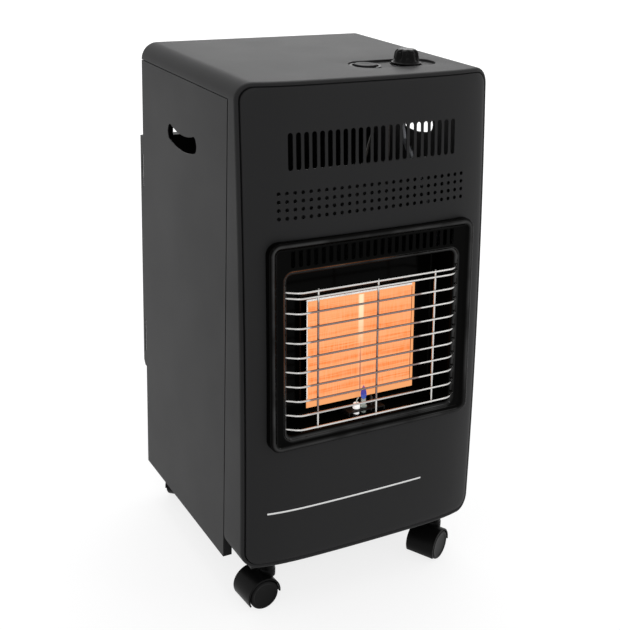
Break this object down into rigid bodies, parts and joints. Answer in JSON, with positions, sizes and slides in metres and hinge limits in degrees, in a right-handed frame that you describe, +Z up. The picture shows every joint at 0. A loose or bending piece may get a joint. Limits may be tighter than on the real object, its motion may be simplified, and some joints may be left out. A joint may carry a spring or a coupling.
{
  "type": "portable gas cabinet heater",
  "caption": "Portable gas cabinet heater on swivel casters with a ceramic infrared burner behind a wire guard, top controls and a bay for a gas bottle.",
  "frame": {"origin": "on the floor under the middle of the heater's bounding box", "axes": "+Z up, -Y the burner's side (the front), +X to the right of someone facing the front"},
  "size_m": [0.34, 0.3638, 0.6869],
  "materials": {
    "charcoal": "satin powder coat",
    "enamel": "gloss vitreous enamel",
    "zinc": "zinc plated",
    "chrome": "bright chrome",
    "stainless": "bright",
    "ceramic": "matte, perforated",
    "porcelain": "glazed",
    "brass": "machined",
    "copper": "drawn tube",
    "plastic": "semi-gloss",
    "wheel": "satin",
    "button": "satin"
  },
  "bodies": {
    "cabinet": {"hood": "charcoal", "front_panel": "charcoal", "side_panel_left": "charcoal", "side_panel_right": "charcoal", "base_pan": "charcoal", "partition": "zinc", "burner_bezel": "enamel", "wire_guard": "chrome", "burner_frame": "stainless", "burner_housing": "zinc", "ceramic_plaque_left": "ceramic", "ceramic_plaque_right": "ceramic", "mixing_tube": "zinc", "gas_injector": "brass", "pilot_bracket": "stainless", "pilot_burner": "stainless", "pilot_electrode": "porcelain", "thermocouple": "copper", "pilot_pipe": "copper", "gas_pipe": "copper", "gas_valve": "brass", "valve_bracket": "zinc", "igniter_body": "plastic", "inlet_nipple": "brass", "caster_front_left_socket": "zinc", "caster_front_right_socket": "zinc", "caster_rear_left_socket": "zinc", "caster_rear_right_socket": "zinc"},
    "rear_cover": {"rear_cover": "charcoal"},
    "spindle": {"valve_spindle": "zinc"},
    "knob": {"control_knob": "plastic"},
    "button": {"ignition_button": "button"},
    "caster_front_left": {"caster_front_left_yoke": "plastic", "caster_front_left_axle": "zinc"},
    "caster_front_left_wheel_a": {"caster_front_left_wheel_a": "wheel"},
    "caster_front_left_wheel_b": {"caster_front_left_wheel_b": "wheel"},
    "caster_front_right": {"caster_front_right_yoke": "plastic", "caster_front_right_axle": "zinc"},
    "caster_front_right_wheel_a": {"caster_front_right_wheel_a": "wheel"},
    "caster_front_right_wheel_b": {"caster_front_right_wheel_b": "wheel"},
    "caster_rear_left": {"caster_rear_left_yoke": "plastic", "caster_rear_left_axle": "zinc"},
    "caster_rear_left_wheel_a": {"caster_rear_left_wheel_a": "wheel"},
    "caster_rear_left_wheel_b": {"caster_rear_left_wheel_b": "wheel"},
    "caster_rear_right": {"caster_rear_right_yoke": "plastic", "caster_rear_right_axle": "zinc"},
    "caster_rear_right_wheel_a": {"caster_rear_right_wheel_a": "wheel"},
    "caster_rear_right_wheel_b": {"caster_rear_right_wheel_b": "wheel"}
  },
  "joints": [
    {"name": "rear_cover_lift_off", "type": "slide", "parent": "cabinet", "child": "rear_cover", "axis": [0, 1, 0], "range_m": [0, 0.15]},
    {"name": "knob_push", "type": "slide", "parent": "cabinet", "child": "spindle", "axis": [0, 0, -1], "range_m": [0, 0.003], "stiffness_N_per_m": 1500, "springref_m": -0.002},
    {"name": "knob_turn", "type": "hinge", "parent": "spindle", "child": "knob", "pos_m": [0.088, -0.06464, 0.675], "axis": [0, 0, -1], "range_deg": [0, 270]},
    {"name": "ignition_push", "type": "slide", "parent": "cabinet", "child": "button", "axis": [0, 0, -1], "range_m": [0, 0.006], "stiffness_N_per_m": 1200, "springref_m": -0.002},
    {"name": "caster_front_left_swivel", "type": "hinge", "parent": "cabinet", "child": "caster_front_left", "pos_m": [-0.121, -0.13114, 0.05], "axis": [0, 0, 1], "continuous": true},
    {"name": "caster_front_left_wheel_a_spin", "type": "hinge", "parent": "caster_front_left", "child": "caster_front_left_wheel_a", "pos_m": [-0.13547, -0.13215, 0.02], "axis": [0.0698, -0.9976, 0], "continuous": true},
    {"name": "caster_front_left_wheel_b_spin", "type": "hinge", "parent": "caster_front_left", "child": "caster_front_left_wheel_b", "pos_m": [-0.13547, -0.13215, 0.02], "axis": [0.0698, -0.9976, 0], "continuous": true},
    {"name": "caster_front_right_swivel", "type": "hinge", "parent": "cabinet", "child": "caster_front_right", "pos_m": [0.135, -0.13114, 0.05], "axis": [0, 0, 1], "continuous": true},
    {"name": "caster_front_right_wheel_a_spin", "type": "hinge", "parent": "caster_front_right", "child": "caster_front_right_wheel_a", "pos_m": [0.1222, -0.13795, 0.02], "axis": [0.4695, -0.8829, 0], "continuous": true},
    {"name": "caster_front_right_wheel_b_spin", "type": "hinge", "parent": "caster_front_right", "child": "caster_front_right_wheel_b", "pos_m": [0.1222, -0.13795, 0.02], "axis": [0.4695, -0.8829, 0], "continuous": true},
    {"name": "caster_rear_left_swivel", "type": "hinge", "parent": "cabinet", "child": "caster_rear_left", "pos_m": [-0.132, 0.13686, 0.05], "axis": [0, 0, 1], "continuous": true},
    {"name": "caster_rear_left_wheel_a_spin", "type": "hinge", "parent": "caster_rear_left", "child": "caster_rear_left_wheel_a", "pos_m": [-0.1223, 0.14764, 0.02], "axis": [-0.7431, 0.6691, 0], "continuous": true},
    {"name": "caster_rear_left_wheel_b_spin", "type": "hinge", "parent": "caster_rear_left", "child": "caster_rear_left_wheel_b", "pos_m": [-0.1223, 0.14764, 0.02], "axis": [-0.7431, 0.6691, 0], "continuous": true},
    {"name": "caster_rear_right_swivel", "type": "hinge", "parent": "cabinet", "child": "caster_rear_right", "pos_m": [0.132, 0.13686, 0.05], "axis": [0, 0, 1], "continuous": true},
    {"name": "caster_rear_right_wheel_a_spin", "type": "hinge", "parent": "caster_rear_right", "child": "caster_rear_right_wheel_a", "pos_m": [0.1197, 0.14454, 0.02], "axis": [-0.5299, -0.848, 0], "continuous": true},
    {"name": "caster_rear_right_wheel_b_spin", "type": "hinge", "parent": "caster_rear_right", "child": "caster_rear_right_wheel_b", "pos_m": [0.1197, 0.14454, 0.02], "axis": [-0.5299, -0.848, 0], "continuous": true}
  ]
}
